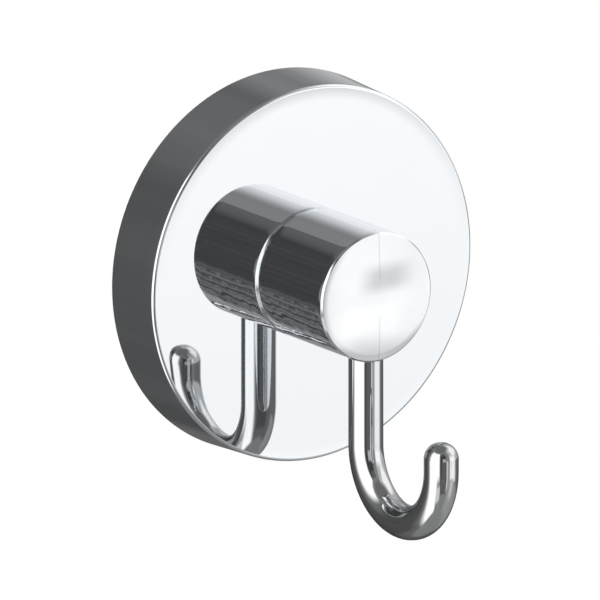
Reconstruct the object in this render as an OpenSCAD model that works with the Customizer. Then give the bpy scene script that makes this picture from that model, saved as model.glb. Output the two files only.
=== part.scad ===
// Suction cup hook: a round cover, a soft cup pulled in by a stud, and a turned knob that carries the hook.
// Z is up. The wall is the plane Y = 0 and the hook faces -Y. Sizes are in millimetres.

/* [Cover] */
// Diameter of the cover at its front face
cover_d = 55; // [50:0.5:65]
// Depth of the cover from the wall to its front face
cover_depth = 9.9; // [9.5:0.1:12]
// Wall of the cover's face and of its side
cover_wall = 2; // [1.6:0.1:2.2]
// Draft of the cover's side, in degrees
side_draft = 2.4; // [0:0.2:4]
// Rounding of the cover's front edge
cover_edge_r = 0.65; // [0.3:0.05:1]
// Ribs between the collar and the pressure ring
rib_count = 8; // [4:1:12]
// Thickness of those ribs
rib_t = 1.2; // [0.8:0.1:1.6]
// Wall of the collar round the cup's hub
collar_wall = 1.4; // [1:0.1:1.8]
// Depth of that collar behind the cover's face
collar_depth = 1.3; // [0.8:0.1:1.4]
// Wall of the ring that presses on the cup
ring_wall = 1.8; // [1.2:0.1:2.4]
// Distance of that ring's outside from the edge of the cup's lip
ring_inset = 3.2; // [2.6:0.1:4]

/* [Suction cup] */
// Gap between the cup's lip and the cover's inside
lip_gap = 0.7; // [0.3:0.1:1.5]
// Thickness of the lip at its edge
lip_t = 0.8; // [0.6:0.1:1]
// Width of the flat sealing band on the lip
seal_w = 2.2; // [1.5:0.1:3]
// Depth of the hollow behind the cup with the stud pulled in
hollow_depth = 3.2; // [3.1:0.1:3.4]
// Thickness of the cup behind the stud's head
head_cover = 1.1; // [0.8:0.1:1.1]
// Height of the hub above the foot that it rises from
hub_rise = 1.4; // [1:0.1:1.6]
// Width of the foot round the hub
foot_w = 1; // [0.5:0.1:1.5]
// Diameter of the hub round the stud's head
hub_d = 16; // [15:0.5:16.5]

/* [Stud] */
// Outside diameter of the stud's thread
stud_d = 8; // [6:0.5:8.5]
// Length of the thread inside the knob
stud_reach = 9.6; // [8:0.1:9.8]
// Diameter of the head moulded into the cup
head_d = 12; // [11:0.5:12.5]
// Thickness of that head
head_t = 1.6; // [1.2:0.1:1.8]
// Depth of the flat that keeps the stud from turning
flat_depth = 1; // [0.6:0.1:1.2]
// Chamfer at the stud's front end
stud_chamfer = 0.8; // [0.4:0.1:1]

/* [Knob] */
// Diameter of the knob
knob_d = 19; // [18:0.5:22]
// Distance of the knob's front edge from the cover
knob_len = 16.2; // [16.1:0.1:18]
// Bevel of the knob's front edge
knob_front_bevel = 0.25; // [0.15:0.05:0.4]
// Bevel of the knob's rear edge
knob_rear_bevel = 0.35; // [0.15:0.05:0.8]
// Rise of the knob's crowned front face at its middle
knob_crown = 0.3; // [0.1:0.05:0.6]
// Diameter of the slip washer behind the knob
washer_d = 14; // [12:0.5:15]
// Thickness of the slip washer
washer_t = 1; // [0.6:0.1:1.2]
// Depth of the bore beyond the end of the stud
bore_spare = 1.4; // [1:0.1:1.5]

/* [Hook] */
// Diameter of the hook's rod
rod_d = 5; // [4:0.5:5]
// Distance of the rod's shank from the cover's face
shank_out = 13.5; // [13.4:0.1:13.6]
// Radius of the bend, to the middle of the rod
bend_r = 9.5; // [7:0.5:14]
// Depth of the bend's centre below the knob's axis
bend_drop = 22; // [16:0.5:40]
// Straight length of rod at the tip
tip_rise = 1.8; // [0.5:0.1:12]
// Diameter of the spigot that holds the rod in the knob
spigot_d = 3; // [2:0.5:3]
// Length of that spigot above the knob's surface
spigot_len = 5; // [3:0.5:5.5]

/* [Fits] */
// Radial clearance of the thread in the knob
thread_clear = 0.05; // [0.03:0.01:0.1]
// Clearance of the stud in the cover's hole
slide_clear = 0.1; // [0.05:0.01:0.2]
// Clearance of the stud's head in the soft hub
head_clear = 0.1; // [0.05:0.05:0.2]
// Gap between the cup's skirt and the ring that presses on it
cup_gap = 0.36; // [0.3:0.02:0.5]
// Gap between the cup's hub and the cover's face and collar
hub_gap = 0.5; // [0.3:0.1:0.6]
// Extra height of the ribs above the cup, over that of the ring
rib_gap = 0.4; // [0.2:0.1:0.6]
// Gap between the knob and the cover
knob_gap = 0.15; // [0.1:0.05:0.3]
// Clearance round the slip washer
washer_clear = 0.3; // [0.2:0.05:0.4]
// Clearance of the spigot and of the rod's coped end
spigot_clear = 0.05; // [0.02:0.01:0.08]
// Depth of the spigot's hole beyond the end of the spigot
spigot_spare = 0.5; // [0.2:0.1:1]

/* [Hidden] */
$fn = 128;
// A cut runs this far past the face that it opens
over = 1;
// A rib or ring runs this far into what carries it
root = 0.4;
chrome = [0.78, 0.79, 0.81];
clear_vinyl = [0.86, 0.90, 0.92];
moulded_white = [0.93, 0.93, 0.91];

cover_r = cover_d / 2;
plate_back = cover_depth - cover_wall;
edge_centre_r = cover_r - cover_edge_r;
edge_centre_t = cover_depth - cover_edge_r;
side_top_r = edge_centre_r + cover_edge_r * cos(side_draft);
side_top_t = edge_centre_t + cover_edge_r * sin(side_draft);
cover_back_r = side_top_r + side_top_t * tan(side_draft);

cup_r = cover_back_r - cover_wall - lip_gap;
hub_r = hub_d / 2;
hub_front = plate_back - hub_gap;
// The cup's front is a sphere through its lip's edge and the foot of the hub
foot_r = hub_r + foot_w;
foot_top = hub_front - hub_rise;
cup_front_drop = (cup_r * cup_r + lip_t * lip_t - foot_r * foot_r - foot_top * foot_top)
    / (2 * (foot_top - lip_t));
cup_front_r = sqrt(foot_r * foot_r + pow(foot_top + cup_front_drop, 2));
// The hollow is a sphere through the inside of the sealing band
hollow_rim_r = cup_r - seal_w;
hollow_drop = (hollow_rim_r * hollow_rim_r - hollow_depth * hollow_depth) / (2 * hollow_depth);

collar_in_r = hub_r + hub_gap;
collar_out_r = collar_in_r + collar_wall;
collar_back = plate_back - collar_depth;
ring_out_r = cup_r - ring_inset;
ring_in_r = ring_out_r - ring_wall;
ring_back = cup_front_t(ring_in_r) + cup_gap;
rib_end_back = ring_back + rib_gap;

stud_r = stud_d / 2;
flat_at = stud_r - flat_depth;
head_back = hollow_depth + head_cover;
head_front = head_back + head_t;
stud_front = cover_depth + stud_reach;

knob_r = knob_d / 2;
knob_back = cover_depth + knob_gap;
knob_front = cover_depth + knob_len;
thread_r = stud_r + thread_clear;
thread_end = stud_front + bore_spare;
knob_face_r = knob_r - knob_front_bevel;
crown_r = (knob_face_r * knob_face_r + knob_crown * knob_crown) / (2 * knob_crown);
washer_r = washer_d / 2;

rod_r = rod_d / 2;
shank_y = -(cover_depth + shank_out);
tip_y = shank_y - 2 * bend_r;
spigot_r = spigot_d / 2;
spigot_top = -(knob_r - spigot_len);

// Height of the cup's front above the wall at a given radius
function cup_front_t(r) = sqrt(cup_front_r * cup_front_r - r * r) - cup_front_drop;

// Stands a turned shape on the wall, with its own Z pointing out of the wall
module from_wall(t = 0) {
    translate([0, -t, 0])
        rotate([90, 0, 0])
            children();
}

// Outside of the cover: a drafted side that runs into the rounded front edge
module cover_outline() {
    polygon([
        [0, 0],
        [cover_back_r, 0],
        [side_top_r, side_top_t],
        [edge_centre_r, edge_centre_t],
        [edge_centre_r, cover_depth],
        [0, cover_depth]
    ]);
    translate([edge_centre_r, edge_centre_t])
        intersection() {
            circle(cover_edge_r);
            square(cover_edge_r * 2);
        }
}

// Space inside the cover, with the same draft as its side
module cover_inside() {
    in_back = cover_back_r - cover_wall;
    in_front = in_back - plate_back * tan(side_draft);
    polygon([
        [0, -over],
        [in_back + over * tan(side_draft), -over],
        [in_front, plate_back],
        [0, plate_back]
    ]);
}

// The stud's round section with its flat, grown by a clearance
module stud_section(grow) {
    r = stud_r + grow;
    intersection() {
        circle(r);
        translate([-r, -r])
            square([2 * r, r + flat_at + grow]);
    }
}

// One stiffening rib from the collar out to the pressure ring
module radial_rib() {
    rotate([90, 0, 0])
        linear_extrude(rib_t, center = true)
            polygon([
                [collar_out_r - root, plate_back + root],
                [collar_out_r - root, collar_back],
                [ring_in_r + root, rib_end_back],
                [ring_in_r + root, plate_back + root]
            ]);
}

module cover() {
    color(chrome)
        from_wall()
            difference() {
                union() {
                    rotate_extrude()
                        difference() {
                            cover_outline();
                            cover_inside();
                        }
                    rotate_extrude()
                        translate([collar_in_r, collar_back])
                            square([collar_wall, collar_depth + root]);
                    rotate_extrude()
                        translate([ring_in_r, ring_back])
                            square([ring_wall, plate_back + root - ring_back]);
                    for (i = [0 : rib_count - 1])
                        rotate([0, 0, (i + 0.5) * 360 / rib_count])
                            radial_rib();
                }
                translate([0, 0, plate_back - over])
                    linear_extrude(cover_wall + 2 * over)
                        stud_section(slide_clear);
            }
}

module suction_cup() {
    color(clear_vinyl)
        from_wall()
            rotate_extrude()
                difference() {
                    union() {
                        intersection() {
                            translate([0, -cup_front_drop])
                                circle(cup_front_r, $fn = 720);
                            square([cup_r, plate_back]);
                        }
                        square([hub_r, hub_front]);
                    }
                    translate([0, -hollow_drop])
                        circle(hollow_drop + hollow_depth, $fn = 720);
                    translate([0, head_back - head_clear])
                        square([head_d / 2 + head_clear, head_t + 2 * head_clear]);
                    translate([0, head_back])
                        square([stud_r + head_clear, hub_front]);
                    translate([-2 * cup_r, -over])
                        square([2 * cup_r, 2 * cover_depth]);
                }
}

module stud() {
    color(moulded_white)
        from_wall() {
            translate([0, 0, head_back])
                cylinder(h = head_t, d = head_d);
            intersection() {
                translate([0, 0, head_front])
                    linear_extrude(stud_front - head_front)
                        stud_section(0);
                rotate_extrude()
                    polygon([
                        [0, head_back],
                        [2 * stud_r, head_back],
                        [2 * stud_r, stud_front - stud_chamfer - stud_r],
                        [stud_r - stud_chamfer, stud_front],
                        [0, stud_front]
                    ]);
            }
        }
}

module slip_washer() {
    color(moulded_white)
        from_wall(cover_depth)
            difference() {
                cylinder(h = washer_t, r = washer_r);
                translate([0, 0, -over])
                    cylinder(h = washer_t + 2 * over, r = stud_r + washer_clear);
            }
}

module knob() {
    color(chrome)
        difference() {
            from_wall()
                rotate_extrude()
                    difference() {
                        union() {
                            polygon([
                                [0, knob_back],
                                [knob_r - knob_rear_bevel, knob_back],
                                [knob_r, knob_back + knob_rear_bevel],
                                [knob_r, knob_front - knob_front_bevel],
                                [knob_face_r, knob_front],
                                [0, knob_front]
                            ]);
                            intersection() {
                                translate([0, knob_front + knob_crown - crown_r])
                                    circle(crown_r, $fn = 1440);
                                translate([0, knob_front - knob_front_bevel])
                                    square([knob_face_r, knob_front_bevel + knob_crown]);
                            }
                        }
                        square([washer_r + washer_clear, cover_depth + washer_t]);
                        square([thread_r, thread_end]);
                    }
            translate([0, shank_y, -knob_r - over])
                cylinder(h = spigot_top + knob_r + over + spigot_spare, r = spigot_r + spigot_clear);
        }
}

module hook() {
    color(chrome) {
        // Shank, with its top coped to the knob's barrel
        difference() {
            translate([0, shank_y, -bend_drop])
                cylinder(h = bend_drop - knob_r + rod_r, r = rod_r);
            from_wall(knob_back)
                cylinder(h = knob_len, r = knob_r + spigot_clear);
        }
        translate([0, shank_y, -knob_r - rod_r])
            cylinder(h = spigot_top + knob_r + rod_r, r = spigot_r);
        translate([0, shank_y - bend_r, -bend_drop])
            rotate([0, 0, 90])
                rotate([-90, 0, 0])
                    rotate_extrude(angle = 180)
                        translate([bend_r, 0])
                            circle(rod_r);
        translate([0, tip_y, -bend_drop])
            cylinder(h = tip_rise, r = rod_r);
        translate([0, tip_y, tip_rise - bend_drop])
            sphere(rod_r);
    }
}

cover();
suction_cup();
stud();
slip_washer();
knob();
hook();
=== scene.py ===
import math

import bmesh
import bpy
from mathutils import Matrix, Vector


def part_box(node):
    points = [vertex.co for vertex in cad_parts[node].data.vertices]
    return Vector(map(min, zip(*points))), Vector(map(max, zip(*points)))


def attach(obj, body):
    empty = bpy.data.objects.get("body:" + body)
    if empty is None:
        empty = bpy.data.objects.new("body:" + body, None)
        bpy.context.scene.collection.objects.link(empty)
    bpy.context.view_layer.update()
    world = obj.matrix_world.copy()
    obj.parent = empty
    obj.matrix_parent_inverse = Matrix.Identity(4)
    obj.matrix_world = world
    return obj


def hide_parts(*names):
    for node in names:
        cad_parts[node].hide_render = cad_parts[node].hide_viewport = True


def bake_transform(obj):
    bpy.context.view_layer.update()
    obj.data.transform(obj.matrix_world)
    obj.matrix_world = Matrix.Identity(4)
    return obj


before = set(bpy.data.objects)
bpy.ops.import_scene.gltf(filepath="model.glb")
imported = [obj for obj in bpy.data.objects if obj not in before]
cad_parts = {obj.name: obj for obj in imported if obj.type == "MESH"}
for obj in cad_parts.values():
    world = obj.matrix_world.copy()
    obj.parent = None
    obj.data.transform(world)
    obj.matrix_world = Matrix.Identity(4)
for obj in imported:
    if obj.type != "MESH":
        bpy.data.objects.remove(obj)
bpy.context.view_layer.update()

mm = 0.001  # the sizes below are in millimetres, and meshes are made in metres
turn = 2 * math.pi


# Outlines are lists of (radius, depth) points, where depth runs from the wall out to the front

def softened(corners, steps=5):
    # Turns each (radius, depth, rounding) corner of an open outline into an arc
    outline = []
    for i, corner in enumerate(corners):
        if len(corner) < 3:
            outline.append(corner)
            continue
        before, here, after = (Vector(corners[k][:2]) for k in (i - 1, i, i + 1))
        toBefore, toAfter = (before - here).normalized(), (after - here).normalized()
        half = toBefore.angle(toAfter) / 2
        centre = here + (toBefore + toAfter).normalized() * corner[2] / math.sin(half)
        first = here + toBefore * corner[2] / math.tan(half) - centre
        last = here + toAfter * corner[2] / math.tan(half) - centre
        start = math.atan2(first.y, first.x)
        sweep = (math.atan2(last.y, last.x) - start + math.pi) % turn - math.pi
        for k in range(steps + 1):
            angle = start + sweep * k / steps
            outline.append((centre.x + corner[2] * math.cos(angle), centre.y + corner[2] * math.sin(angle)))
    return outline


def divided(outline, longest=2.0):
    # Splits the long stretches of an outline, so that the faces of the mesh stay even
    result = [outline[0]]
    for start, end in zip(outline, outline[1:]):
        if not callable(start[0]) and not callable(end[0]):
            pieces = max(1, math.ceil(math.dist(start, end) / longest))
            for k in range(1, pieces):
                result.append(tuple(a + (b - a) * k / pieces for a, b in zip(start, end)))
        result.append(end)
    return result


def turnedShape(outline, segments=192, closed=False):
    # Turns an outline round the knob's axis; a radius may be a function of angle and depth
    points, rings = [], []
    for radius, depth in outline:
        ring = []
        for i in range(1 if radius == 0 else segments):
            angle = turn * i / segments
            r = radius(angle, depth) if callable(radius) else radius
            ring.append(len(points))
            points.append((r * math.cos(angle), -depth, r * math.sin(angle)))
        rings.append(ring)
    if closed:
        rings.append(rings[0])
    faces = []
    for a, b in zip(rings, rings[1:]):
        for i in range(segments):
            j = (i + 1) % segments
            loop = [a[i % len(a)], a[j % len(a)], b[j % len(b)], b[i % len(b)]]
            faces.append(list(dict.fromkeys(loop)))
    return points, faces


def sweptShape(path, segments=64):
    # Sweeps a round section along stations of (centre, direction, radius) that lie in the YZ plane
    points, faces = [], []
    for centre, direction, radius in path:
        across = Vector((1, 0, 0))
        outward = direction.cross(across)
        for i in range(segments):
            angle = turn * i / segments
            points.append(centre + (across * math.cos(angle) + outward * math.sin(angle)) * radius)
    for k in range(len(path) - 1):
        for i in range(segments):
            j = (i + 1) % segments
            a, b = k * segments, (k + 1) * segments
            faces.append([a + i, a + j, b + j, b + i])
    faces.append(list(range(segments)))
    faces.append([(len(path) - 1) * segments + i for i in range(segments)])
    return points, faces


def newPiece(name, points, faces):
    mesh = bpy.data.meshes.new(name)
    mesh.from_pydata([Vector(p) * mm for p in points], [], faces)
    form = bmesh.new()
    form.from_mesh(mesh)
    bmesh.ops.recalc_face_normals(form, faces=form.faces)
    form.to_mesh(mesh)
    form.free()
    piece = bpy.data.objects.new(name, mesh)
    bpy.context.scene.collection.objects.link(piece)
    return piece


def finishedPiece(piece, material, body, node, crease=35):
    # Shades the mesh smoothly, with flat faces kept flat, and puts it in the place of its CAD node
    mesh = piece.data
    mesh.shade_smooth()
    mesh.set_sharp_from_angle(angle=math.radians(crease))
    even = piece.modifiers.new("evenShading", "WEIGHTED_NORMAL")
    even.keep_sharp = True
    even.weight = 100
    applyModifiers(piece)
    piece.data.materials.clear()
    piece.data.materials.append(material)
    if isinstance(body, tuple):
        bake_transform(piece)
    else:
        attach(piece, body)
    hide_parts(node)
    print("piece", piece.name, len(piece.data.polygons), "faces")
    return piece


def applyModifiers(piece):
    bpy.context.view_layer.update()
    graph = bpy.context.evaluated_depsgraph_get()
    mesh = bpy.data.meshes.new_from_object(piece.evaluated_get(graph), depsgraph=graph)
    piece.modifiers.clear()
    piece.data = mesh


# Material helpers

def link(tree, output, target):
    tree.links.new(output, target)


def addNode(tree, kind, inputs=None, **settings):
    node = tree.nodes.new(kind)
    for key, value in settings.items():
        setattr(node, key, value)
    for key, value in (inputs or {}).items():
        if isinstance(value, bpy.types.NodeSocket):
            link(tree, value, node.inputs[key])
        else:
            node.inputs[key].default_value = value
    return node


def addMath(tree, operation, *values, clamp=False):
    node = addNode(tree, "ShaderNodeMath", dict(enumerate(values)), operation=operation, use_clamp=clamp)
    return node.outputs[0]


def addNoise(tree, wavelength, detail=2.0, roughness=0.5, stretch=(1, 1, 1)):
    # Noise in the object's own coordinates, with its rough grain size in millimetres
    place = addNode(tree, "ShaderNodeTexCoord").outputs["Object"]
    scaled = addNode(tree, "ShaderNodeMapping", {"Vector": place, "Scale": stretch}).outputs[0]
    scale = 1 / (wavelength * mm)
    noise = addNode(tree, "ShaderNodeTexNoise",
                    {"Vector": scaled, "Scale": scale, "Detail": detail, "Roughness": roughness})
    return noise.outputs["Fac"]


def addRange(tree, value, fromLow, fromHigh, toLow, toHigh, smooth=False):
    kind = "SMOOTHSTEP" if smooth else "LINEAR"
    inputs = {"Value": value, "From Min": fromLow, "From Max": fromHigh, "To Min": toLow, "To Max": toHigh}
    return addNode(tree, "ShaderNodeMapRange", inputs, interpolation_type=kind).outputs[0]


def addTint(tree, factor, first, second):
    tint = addNode(tree, "ShaderNodeMix", data_type="RGBA")
    link(tree, factor, tint.inputs[0])
    tint.inputs[6].default_value = (*first, 1)
    tint.inputs[7].default_value = (*second, 1)
    return tint.outputs[2]


def newMaterial(name):
    material = bpy.data.materials.new(name)
    material.use_nodes = True
    tree = material.node_tree
    return material, tree, tree.nodes["Principled BSDF"]


def makeChrome(name, look):
    material, tree, shader = newMaterial(name)
    shader.inputs["Metallic"].default_value = 1
    shader.inputs["Specular Tint"].default_value = (*look["edgeTint"], 1)
    stain = addNoise(tree, look["stainSize"], 3)
    dull = [c * look["stainShade"] for c in look["colour"]]
    link(tree, addTint(tree, stain, look["colour"], dull), shader.inputs["Base Color"])
    link(tree, addRange(tree, stain, 0.3, 0.7, *look["roughness"]), shader.inputs["Roughness"])
    wave = addNoise(tree, look["waveLength"], 2, 0.5, look["waveStretch"])
    bump = addNode(tree, "ShaderNodeBump", {"Height": wave, "Distance": look["waveHeight"] * mm, "Strength": 1.0})
    link(tree, bump.outputs[0], shader.inputs["Normal"])
    return material, tree, shader


def darken(tree, shader, factor):
    # Multiplies the base colour that the shader already has
    before = shader.inputs["Base Color"].links[0].from_socket
    mix = addNode(tree, "ShaderNodeMix", data_type="RGBA", blend_type="MULTIPLY")
    mix.inputs[0].default_value = 1
    link(tree, before, mix.inputs[6])
    link(tree, factor, mix.inputs[7])
    link(tree, mix.outputs[2], shader.inputs["Base Color"])


def objectAxes(tree):
    place = addNode(tree, "ShaderNodeTexCoord").outputs["Object"]
    return addNode(tree, "ShaderNodeSeparateXYZ", {0: place}).outputs


def makePlastic(name, look):
    material, tree, shader = newMaterial(name)
    cloud = addNoise(tree, look["cloudSize"], 3)
    link(tree, addTint(tree, cloud, look["colour"], look["shade"]), shader.inputs["Base Color"])
    link(tree, addRange(tree, cloud, 0.3, 0.7, *look["roughness"]), shader.inputs["Roughness"])
    shader.inputs["Transmission Weight"].default_value = look["clear"]
    shader.inputs["IOR"].default_value = look["ior"]
    grain = addNoise(tree, look["grainSize"], 2)
    bump = addNode(tree, "ShaderNodeBump", {"Height": grain, "Distance": look["grainHeight"] * mm})
    link(tree, bump.outputs[0], shader.inputs["Normal"])
    return material


# Sizes shared by the pieces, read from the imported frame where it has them

coverLow, coverHigh = (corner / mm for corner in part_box("cover"))
knobLow, knobHigh = (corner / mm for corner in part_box("knob"))
hookLow, hookHigh = (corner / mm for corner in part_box("hook"))
studLow, studHigh = (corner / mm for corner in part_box("stud"))
cupLow, cupHigh = (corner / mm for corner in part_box("suction_cup"))
washerLow, washerHigh = (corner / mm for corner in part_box("slip_washer"))

coverDepth, coverBackRadius = -coverLow.y, coverHigh.x
cupRadius, hubFront = cupHigh.x, -cupLow.y
knobRadius, knobBack, knobFace = knobHigh.x, -knobHigh.y, -knobLow.y
washerFront, washerRadius = -washerLow.y, washerHigh.x
headBack, studFront, headRadius = -studHigh.y, -studLow.y, studHigh.x
rodRadius = hookHigh.x

thread = {"radius": 4.0, "root": 3.2, "flat": 3.0, "pitch": 2.0, "starts": 2, "crest": 0.12, "foot": 0.30}


def threadHeight(angle, depth, phase):
    # 1 on the crest of the ridge and 0 in the valley; the thread is right-handed
    along = depth / thread["pitch"] - thread["starts"] * angle / turn + phase
    fromCrest = abs((along + 0.5) % 1 - 0.5)
    return min(1, max(0, (thread["foot"] - fromCrest) / (thread["foot"] - thread["crest"])))


def flattened(radius, flat):
    # A round section with a flat on its upper side
    return lambda angle, depth: min(radius, flat / max(math.sin(angle), 0.01))


# Cover

coverLook = {"wall": 2.0, "draft": 2.4, "edgeRound": 0.5, "footRound": 0.25, "fillet": 0.4, "tipRound": 0.3,
             "ringOut": 22.0, "ringIn": 20.2, "ringBack": 3.35, "collarOut": 9.9, "collarIn": 8.5,
             "collarDepth": 1.3, "ribs": 8, "ribThickness": 1.2, "ribBack": 3.75, "holeClear": 0.1, "holeEdge": 0.2}
# The last entry of coverChrome is painted shade: the colour factor at the bottom of the plate
coverChrome = {"colour": (0.90, 0.925, 0.945), "edgeTint": (0.85, 0.85, 0.86), "stainSize": 9, "stainShade": 0.985,
               "roughness": (0.015, 0.03), "waveLength": 14, "waveStretch": (1, 1, 1), "waveHeight": 0.001, "paintedShadeLow": 0.93}


def makeCover():
    look = coverLook
    slope = math.tan(math.radians(look["draft"]))
    frontRadius = coverBackRadius - coverDepth * slope
    plateBack = coverDepth - look["wall"]
    innerFoot = coverBackRadius - look["wall"]
    holeRadius = thread["radius"] + look["holeClear"]
    holeFlat = thread["flat"] + look["holeClear"]
    edge = look["holeEdge"]
    fillet, tip = look["fillet"], look["tipRound"]
    collarBack = plateBack - look["collarDepth"]
    outline = [
        (flattened(holeRadius, holeFlat), plateBack + edge),
        (flattened(holeRadius, holeFlat), coverDepth - edge),
        (flattened(holeRadius + edge, holeFlat + edge), coverDepth)]
    outline += divided(softened([
        (holeRadius + 2 * edge, coverDepth),
        (frontRadius, coverDepth, look["edgeRound"]),
        (coverBackRadius, 0, look["footRound"]),
        (innerFoot, 0, look["footRound"]),
        (innerFoot - plateBack * slope, plateBack, fillet),
        (look["ringOut"], plateBack, fillet),
        (look["ringOut"], look["ringBack"], tip),
        (look["ringIn"], look["ringBack"], tip),
        (look["ringIn"], plateBack, fillet),
        (look["collarOut"], plateBack, fillet),
        (look["collarOut"], collarBack, tip),
        (look["collarIn"], collarBack, tip),
        (look["collarIn"], plateBack, fillet),
        (holeRadius + 2 * edge, plateBack)]))
    outline.append((flattened(holeRadius + edge, holeFlat + edge), plateBack))
    points, faces = turnedShape(outline, 256, closed=True)
    for i in range(look["ribs"]):
        addRib(points, faces, (i + 0.5) * turn / look["ribs"], plateBack, collarBack)
    cover = newPiece("coverShell", points, faces)
    material, tree, shader = makeChrome("coverChrome", coverChrome)
    # Painted shade: the plate's base colour is made darker towards its bottom, standing in for the dimmer reflections
    # low on the plate
    height = objectAxes(tree)[2]
    low, high = -coverBackRadius * mm, coverBackRadius * mm
    darken(tree, shader, addRange(tree, height, low, high, coverChrome["paintedShadeLow"], 1))
    return finishedPiece(cover, material, "base", "cover")


def addRib(points, faces, angle, plateBack, collarBack):
    # One stiffening rib from the collar out to the ring, tapered towards its free edge
    look = coverLook
    root = look["ribThickness"] / 2
    near, far = look["collarOut"] - look["fillet"], look["ringIn"] + look["fillet"]
    first = len(points)
    for r, depth in ((near, collarBack + 0.2), (far, look["ribBack"])):
        for side, t, narrow in ((-1, plateBack + 0.4, 1), (1, plateBack + 0.4, 1), (1, depth + 0.2, 0.85),
                                (1, depth, 0.5), (-1, depth, 0.5), (-1, depth + 0.2, 0.85)):
            place = Matrix.Rotation(angle, 2) @ Vector((r, side * root * narrow))
            points.append((place.x, -t, place.y))
    faces += [[first + k for k in range(6)], [first + 6 + k for k in range(6)]]
    for k in range(6):
        m = (k + 1) % 6
        faces.append([first + k, first + m, first + 6 + m, first + 6 + k])


# Suction cup

cupLook = {"lip": 0.8, "hollow": 3.2, "seal": 2.2, "headCover": 1.1, "hub": 8.0, "foot": 9.0, "hubRise": 1.4,
           "clear": 0.1, "round": 0.35}
vinyl = {"colour": (0.93, 0.97, 0.98), "shade": (0.88, 0.94, 0.96), "cloudSize": 7, "roughness": (0.05, 0.12),
         "clear": 1.0, "ior": 1.53, "grainSize": 1.2, "grainHeight": 0.004}


def sphereStretch(rimRadius, rimDepth, topRadius, topDepth, steps):
    # Points along the arc of a sphere, centred on the axis, from its rim to a ring higher up
    drop = (rimRadius ** 2 + rimDepth ** 2 - topRadius ** 2 - topDepth ** 2) / (2 * (topDepth - rimDepth))
    radius = math.hypot(rimRadius, rimDepth + drop)
    start, end = math.atan2(rimDepth + drop, rimRadius), math.atan2(topDepth + drop, topRadius)
    angles = [start + (end - start) * k / steps for k in range(steps + 1)]
    return [(radius * math.cos(a), radius * math.sin(a) - drop) for a in angles]


def makeCup():
    look = cupLook
    headRoof = headBack + studHead["thickness"]
    hollow = sphereStretch(cupRadius - look["seal"], 0, 0, look["hollow"], 24)
    hollow[-1] = (0, look["hollow"])
    front = sphereStretch(cupRadius, look["lip"], look["foot"], hubFront - look["hubRise"], 18)
    pocketRadius = headRadius + look["clear"]
    outline = hollow[::-1] + softened([
        hollow[0],
        (cupRadius, 0, look["round"] / 2),
        (cupRadius, look["lip"], look["round"]),
        front[1]])[1:]
    outline += front[2:-1] + softened([
        front[-2],
        (look["hub"] + 0.3, front[-1][1] + 0.15, 0.4),
        (look["hub"], hubFront, look["round"]),
        (thread["radius"] + look["clear"], hubFront, look["clear"]),
        (thread["radius"] + look["clear"], headRoof + look["clear"], look["clear"]),
        (pocketRadius, headRoof + look["clear"], look["clear"]),
        (pocketRadius, headBack - look["clear"], look["clear"]),
        (0, headBack - look["clear"])])[1:]
    cup = newPiece("suctionCup", *turnedShape(outline, 160))
    move = ("stud", "base", (0, -headBack * 1.07 * mm, 0), (0, 0, 0))
    return finishedPiece(cup, makePlastic("clearVinyl", vinyl), move, "suction_cup")


# Stud

studHead = {"thickness": 1.6, "round": 0.3, "threadStart": 10.2, "chamfer": 0.8, "rowsPerPitch": 10}
studPlastic = {"colour": (0.86, 0.86, 0.83), "shade": (0.80, 0.80, 0.77), "cloudSize": 3,
               "roughness": (0.32, 0.45), "clear": 0.0, "ior": 1.49, "grainSize": 0.6, "grainHeight": 0.01}


def studSection(angle, depth):
    # Radius of the threaded stem; its thread fades in at the start and its tip is chamfered
    fadeIn = min(1, max(0, (depth - studHead["threadStart"]) / thread["pitch"]))
    valley = (thread["radius"] - thread["root"]) * fadeIn
    radius = thread["radius"] - valley * (1 - threadHeight(angle, depth, 0))
    radius = min(radius, thread["radius"] - studHead["chamfer"] - depth + studFront)
    return flattened(radius, thread["flat"])(angle, depth)


def makeStud():
    look = studHead
    headFront = headBack + look["thickness"]
    head = softened([
        (0, headBack),
        (headRadius, headBack, look["round"]),
        (headRadius, headFront, look["round"]),
        (thread["radius"] + 0.2, headFront)])
    rows = round((studFront - headFront) / thread["pitch"] * look["rowsPerPitch"])
    stem = [(studSection, headFront + (studFront - headFront) * k / rows) for k in range(rows + 1)]
    stud = newPiece("threadedStud", *turnedShape(divided(head) + stem + [(0, studFront)], 120))
    return finishedPiece(stud, makePlastic("studPlastic", studPlastic), "stud", "stud")


# Slip washer

washerLook = {"hole": 4.3, "round": 0.15}
washerPlastic = {"colour": (0.84, 0.84, 0.82), "shade": (0.80, 0.80, 0.78), "cloudSize": 2,
                 "roughness": (0.25, 0.35), "clear": 0.15, "ior": 1.49, "grainSize": 0.8, "grainHeight": 0.004}


def makeWasher():
    look = washerLook
    back = -washerHigh.y
    middle = (look["hole"] + washerRadius) / 2
    outline = softened([
        (middle, back),
        (washerRadius, back, look["round"]),
        (washerRadius, washerFront, look["round"]),
        (look["hole"], washerFront, look["round"]),
        (look["hole"], back, look["round"]),
        (middle, back)], 3)[:-1]
    washer = newPiece("slipWasher", *turnedShape(outline, 96, closed=True))
    return finishedPiece(washer, makePlastic("washerPlastic", washerPlastic), "turning_knob",
                         "slip_washer")


# Knob

knobLook = {"crown": 0.3, "frontBevel": 0.25, "rearBevel": 0.35, "bevelRound": 0.05, "recess": 7.3, "threadTop": 4.05, "threadIn": 3.3,
            "boreEnd": 20.9, "edge": 0.2, "spigotHole": 1.55, "spigotTop": -4.0}
knobChrome = {"colour": (0.90, 0.91, 0.925), "edgeTint": (0.85, 0.85, 0.86), "stainSize": 5, "stainShade": 0.97, "roughness": (0.01, 0.02),
              "waveLength": 2.6, "waveStretch": (1, 0.55, 1), "waveHeight": 0.08, "waveTop": 0.05,
              "seamAt": 0.4, "seamWidth": (0.04, 0.12), "seamFade": (2, 4), "seamShade": 0.78}


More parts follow.
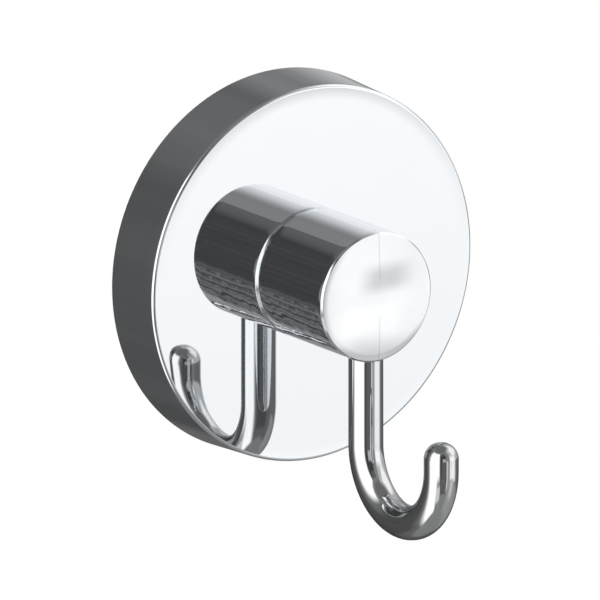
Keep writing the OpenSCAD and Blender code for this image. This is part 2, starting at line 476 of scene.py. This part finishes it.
def knobBore(angle, depth):
    # Radius of the knob's own thread, which lies in the valleys of the stud's thread
    ridge = threadHeight(angle, depth, 0.5)
    return knobLook["threadTop"] - (knobLook["threadTop"] - knobLook["threadIn"]) * ridge


def makeKnobChrome():
    # The waves lie on the barrel, more of them low down; a fine parting line runs over the top and the face
    look = knobChrome
    material, tree, shader = makeChrome("knobChrome", look)
    axes = objectAxes(tree)
    onBarrel = addRange(tree, axes[1], -(knobFace - 0.5) * mm, -(knobFace - 0.6) * mm, 0, 1)
    lower = addRange(tree, axes[2], 3 * mm, -3 * mm, look["waveTop"], 1)
    bump = shader.inputs["Normal"].links[0].from_node
    wave = bump.inputs["Height"].links[0].from_socket
    link(tree, addMath(tree, "MULTIPLY", wave, addMath(tree, "MULTIPLY", onBarrel, lower)), bump.inputs["Height"])
    across = addMath(tree, "ABSOLUTE", addMath(tree, "SUBTRACT", axes[0], look["seamAt"] * mm))
    narrow, wide = (width * mm for width in look["seamWidth"])
    near, far = (height * mm for height in look["seamFade"])
    fade = addRange(tree, addMath(tree, "ABSOLUTE", axes[2]), near, far, 0, 1 - look["seamShade"])
    seam = addMath(tree, "MULTIPLY", addRange(tree, across, narrow, wide, 1, 0, smooth=True), fade)
    darken(tree, shader, addMath(tree, "SUBTRACT", 1.0, seam))
    return material


def makeKnob():
    look = knobLook
    frontEdge = knobFace - look["crown"]
    front, rear, soft = look["frontBevel"], look["rearBevel"], look["bevelRound"]
    shoulder = knobRadius - front - soft
    crown = sphereStretch(shoulder, frontEdge, 0, knobFace, 10)
    crown[-1] = (0, knobFace)
    recessTop = washerFront
    outline = crown[::-1][:-1] + divided(softened([
        crown[1],
        (knobRadius - front, frontEdge, soft),
        (knobRadius, frontEdge - front, soft),
        (knobRadius, knobBack + rear, soft * 2),
        (knobRadius - rear, knobBack, soft * 2),
        (look["recess"], knobBack, look["edge"]),
        (look["recess"], recessTop, look["edge"]),
        (look["threadTop"] + look["edge"], recessTop)]), 1.2)[1:]
    rows = round((look["boreEnd"] - recessTop) / thread["pitch"] * studHead["rowsPerPitch"])
    start = recessTop + look["edge"]
    outline += [(knobBore, start + (look["boreEnd"] - start) * k / rows) for k in range(rows + 1)]
    outline.append((0, look["boreEnd"]))
    knob = newPiece("knobBody", *turnedShape(outline, 192))
    drill = newPiece("spigotDrill", *sweptShape(
        [(Vector((0, hookAxis, z)), Vector((0, 0, 1)), look["spigotHole"]) for z in (-knobRadius - 1, look["spigotTop"])], 50))
    cut = knob.modifiers.new("spigotHole", "BOOLEAN")
    cut.object, cut.solver = drill, "EXACT"
    applyModifiers(knob)
    bpy.data.objects.remove(drill)
    return finishedPiece(knob, makeKnobChrome(), "turning_knob", "knob")


# Hook

hookLook = {"spigot": 1.5, "spigotTop": -4.5, "tipRise": 1.8, "tipHeight": 2.42, "tipSteps": 24, "bendSteps": 64, "coped": 0.05}
hookChrome = {"colour": (0.78, 0.79, 0.80), "edgeTint": (0.5, 0.5, 0.51), "stainSize": 4, "stainShade": 0.96, "roughness": (0.02, 0.045),
              "waveLength": 4, "waveStretch": (1, 1, 0.4), "waveHeight": 0.008}
tipAxis = hookLow.y + rodRadius
hookAxis = hookHigh.y - rodRadius
bendRadius = (hookAxis - tipAxis) / 2
bendHeight = hookLow.z + rodRadius + bendRadius


def knobOutlineAt(depth):
    # Radius of the knob's barrel, less its front bevel, at a depth
    return knobRadius - max(0, depth - (knobFace - knobLook["crown"] - knobLook["frontBevel"]))


def makeHook():
    look = hookLook
    down, up = Vector((0, 0, -1)), Vector((0, 0, 1))
    stations = [(Vector((0, hookAxis, look["spigotTop"])), down, look["spigot"] - 0.3),
                (Vector((0, hookAxis, look["spigotTop"] - 0.3)), down, look["spigot"]),
                (Vector((0, hookAxis, -knobRadius)), down, look["spigot"]),
                (Vector((0, hookAxis, -knobRadius)), down, rodRadius)]
    straight = [-knobRadius - 0.8 + (bendHeight + knobRadius + 0.8) * k / 8 for k in range(9)]
    stations += [(Vector((0, hookAxis, z)), down, rodRadius) for z in straight]
    for k in range(1, look["bendSteps"] + 1):
        angle = math.pi * k / look["bendSteps"]
        centre = Vector((0, hookAxis - bendRadius + bendRadius * math.cos(angle), bendHeight - bendRadius * math.sin(angle)))
        stations.append((centre, Vector((0, -math.sin(angle), -math.cos(angle))), rodRadius))
    stations.append((Vector((0, tipAxis, bendHeight + look["tipRise"])), up, rodRadius))
    for k in range(1, look["tipSteps"]):
        angle = math.pi / 2 * k / look["tipSteps"]
        height = bendHeight + look["tipRise"] + look["tipHeight"] * math.sin(angle)
        stations.append((Vector((0, tipAxis, height)), up, rodRadius * math.cos(angle)))
    points, faces = sweptShape(stations, 72)
    cope(points, 2 * 72, 4 * 72)
    hook = newPiece("hookRod", points, faces)
    return finishedPiece(hook, makeChrome("hookChrome", hookChrome)[0], "turning_knob", "hook")


def cope(points, first, last):
    # Lifts the rod's top ring and the spigot's foot onto the knob's barrel
    for i in range(first, last):
        x, y = points[i].x, points[i].y
        reach = knobOutlineAt(-y) + hookLook["coped"]
        points[i] = Vector((x, y, -math.sqrt(reach ** 2 - x ** 2)))


# Studio

camera = {"azimuth": -34.4, "elevation": 15.0, "width": 85.4, "right": -1.743, "up": -3.826, "distance": 600}
floor = {"height": -300, "size": 8000, "colour": (0.97, 0.97, 0.97), "shade": (0.96, 0.96, 0.96),
         "cloudSize": 900, "lift": 0.05}

# Soft panels round the object, seen only in its chrome. Azimuth 0 is behind the wall, 180 in front of the hook
# and -90 on its left; soft gives the width of the start, end, low and high edges; later panels lie over earlier
panels = {
    "ceiling": {"azimuth": (-180, 180), "elevation": (56, 120), "soft": (0.1, 0.1, 16, 1), "light": 0.17},
    "rightHaze": {"azimuth": (29, 156), "elevation": (-8, 62), "soft": (8, 14, 8, 16), "light": 0.56},
    "rightHazeShade": {"azimuth": (16, 46), "elevation": (9, 70), "soft": (10, 10, 24, 10), "light": 0.22},
    "rightLowHaze": {"azimuth": (62, 166), "elevation": (-62, -16), "soft": (30, 16, 14, 6), "light": 0.36},
    "rightFlag": {"azimuth": (40, 107), "elevation": (-24, -7), "soft": (16, 14, 6, 8), "light": 0.18},
    "backShade": {"azimuth": (-58, 26), "elevation": (-20, 50), "soft": (26, 10, 10, 12), "light": 0.15},
    "backLowShade": {"azimuth": (-58, 54), "elevation": (-58, -17), "soft": (26, 18, 10, 4), "light": 0.15},
    "leftSoftbox": {"azimuth": (-134.4, -69), "elevation": (-20, 47), "soft": (4, 24, 14, 10), "light": 1.4},
    "leftSoftboxLow": {"azimuth": (-117, -66), "elevation": (-58, -12), "soft": (14, 26, 10, 12), "light": 1.4},
    "lowLeftGlow": {"azimuth": (-142, -116), "elevation": (-47, -28), "soft": (10, 10, 8, 8), "light": 0.75},
    "rightSoftbox": {"azimuth": (66, 128), "elevation": (16, 53), "soft": (18, 12, 16, 12), "light": 1.12},
    "frontSoftbox": {"azimuth": (112, 155), "elevation": (-21.5, 21.5), "soft": (24, 9, 2, 19), "light": 1.05},
    "frontSoftboxHigh": {"azimuth": (120, 152), "elevation": (-5, 14), "soft": (20, 10, 6, 8), "light": 1.2},
    "frontSoftboxLow": {"azimuth": (124, 151), "elevation": (-42, -19.8), "soft": (10, 8, 12, 3.2), "light": 0.6},
    "faceGlow": {"azimuth": (143, 150), "elevation": (-18.4, -15.8), "soft": (3, 3, 1.4, 1.2), "light": 1.13},
    "frontGap": {"azimuth": (157, 170), "elevation": (-34, -8), "soft": (4, 3, 10, 8), "light": 0.40},
    "frontSlit": {"azimuth": (170.5, 178), "elevation": (-34, -2), "soft": (2, 3, 10, 8), "light": 0.75},
    "frontFlag": {"azimuth": (-179, -140.4), "elevation": (-34, 46), "soft": (1.5, 1.6, 7, 10), "light": 0.06, "grain": 0.12},
    "frontFlagTop": {"azimuth": (-179, -150), "elevation": (34.5, 50), "soft": (1.5, 10, 5, 8), "light": 0.13},
    "frontGlow": {"azimuth": (-176, -156), "elevation": (-11, 13), "soft": (6, 6, 4, 8), "light": 0.5},
    "frontGlowLow": {"azimuth": (-178, -150), "elevation": (-20, -8), "soft": (3, 6, 4, 4), "light": 0.13},
    "frontLines": {"azimuth": (-180, -143), "elevation": (-40, -17), "soft": (4, 4, 4, 8), "light": 0.14, "grain": 0.6},
    "backFlag": {"azimuth": (-45, 21), "elevation": (-43, 34), "soft": (14, 8, 12, 20), "light": 0.088},
    "dimSpot": {"azimuth": (141.8, 147.4), "elevation": (-14.3, -12.0), "soft": (4.5, 3.5, 1.6, 1.8), "light": 0.72},
}
room = {"light": 0.26, "cloudScale": 5.0, "cloudShare": 0.07, "grainScale": 20.0, "open": 1.0}


def makeCamera():
    azimuth, elevation = math.radians(camera["azimuth"]), math.radians(camera["elevation"])
    back = Vector((math.sin(azimuth) * math.cos(elevation), -math.cos(azimuth) * math.cos(elevation),
                   math.sin(elevation)))
    right = Vector((math.cos(azimuth), math.sin(azimuth), 0))
    up = back.cross(right)
    eye = bpy.data.objects.new("camera", bpy.data.cameras.new("camera"))
    eye.data.type = "ORTHO"
    eye.data.ortho_scale = camera["width"] * mm
    eye.location = (Vector((0, -coverDepth, 0)) + right * camera["right"] + up * camera["up"]
                    + back * camera["distance"]) * mm
    eye.rotation_euler = back.to_track_quat("Z", "Y").to_euler()
    bpy.context.scene.collection.objects.link(eye)
    bpy.context.scene.camera = eye


def makeFloor():
    half, height = floor["size"] / 2, floor["height"]
    corners = [(-half, -half, height), (half, -half, height), (half, half, height), (-half, half, height)]
    plane = newPiece("floor", corners, [[0, 1, 2, 3]])
    material, tree, shader = newMaterial("paleFloor")
    shade = addNoise(tree, floor["cloudSize"], 3)
    tint = addTint(tree, shade, floor["colour"], floor["shade"])
    link(tree, tint, shader.inputs["Base Color"])
    shader.inputs["Roughness"].default_value = 0.9
    seen = addNode(tree, "ShaderNodeLightPath").outputs["Is Camera Ray"]
    link(tree, addMath(tree, "MULTIPLY", seen, floor["lift"]), shader.inputs["Emission Strength"])
    plane.data.materials.append(material)
    plane.visible_glossy = False


def panelMask(tree, azimuth, elevation, panel):
    # 1 inside the panel and 0 outside, with a soft edge on each of its four sides
    mask = 1.0
    sides = ((azimuth, panel["azimuth"], panel["soft"][:2]), (elevation, panel["elevation"], panel["soft"][2:]))
    for direction, (start, end), soft in sides:
        middle, half = (start + end) / 2, math.radians(end - start) / 2
        offset = addMath(tree, "SUBTRACT", direction, math.radians(middle))
        offset = addMath(tree, "WRAP", offset, math.pi, -math.pi)
        for side, width in ((-1, math.radians(soft[0]) / 2), (1, math.radians(soft[1]) / 2)):
            past = addMath(tree, "MULTIPLY", offset, side)
            edge = addRange(tree, past, half - width, half + width, 1, 0, smooth=True)
            mask = addMath(tree, "MULTIPLY", mask, edge)
    return mask


def makeWorld():
    world = bpy.data.worlds.new("studio")
    bpy.context.scene.world = world
    world.use_nodes = True
    tree = world.node_tree
    place = addNode(tree, "ShaderNodeTexCoord").outputs["Generated"]
    axes = addNode(tree, "ShaderNodeSeparateXYZ", {0: place}).outputs
    azimuth = addMath(tree, "ARCTAN2", axes[0], axes[1])
    elevation = addMath(tree, "ARCSINE", axes[2])
    grain = addNode(tree, "ShaderNodeTexNoise",
                    {"Vector": place, "Scale": room["grainScale"], "Detail": 3}).outputs["Fac"]
    light = room["light"]
    for panel in panels.values():
        mask = panelMask(tree, azimuth, elevation, panel)
        glow = panel["light"]
        if "grain" in panel:
            glow = addRange(tree, grain, 0.35, 0.65, glow * (1 - panel["grain"]), glow * (1 + panel["grain"]))
        mix = addNode(tree, "ShaderNodeMix", {0: mask, 2: light, 3: glow}, data_type="FLOAT")
        light = mix.outputs[0]
    cloud = addNode(tree, "ShaderNodeTexNoise", {"Vector": place, "Scale": room["cloudScale"], "Detail": 5}).outputs["Fac"]
    share = addRange(tree, cloud, 0.3, 0.7, 1 - room["cloudShare"], 1 + room["cloudShare"])
    light = addMath(tree, "MULTIPLY", light, share)
    path = addNode(tree, "ShaderNodeLightPath").outputs
    mirrored = addNode(tree, "ShaderNodeMix", {0: path["Is Glossy Ray"], 2: room["open"], 3: light}, data_type="FLOAT")
    link(tree, mirrored.outputs[0], tree.nodes["Background"].inputs["Strength"])
    tree.nodes["Background"].inputs["Color"].default_value = (1, 1, 1, 1)


makeCamera()
makeFloor()
makeWorld()
print("camera, floor and light are ready")
makeCover()
makeCup()
makeStud()
makeWasher()
makeKnob()
makeHook()
bpy.context.scene.view_settings.view_transform = "Standard"
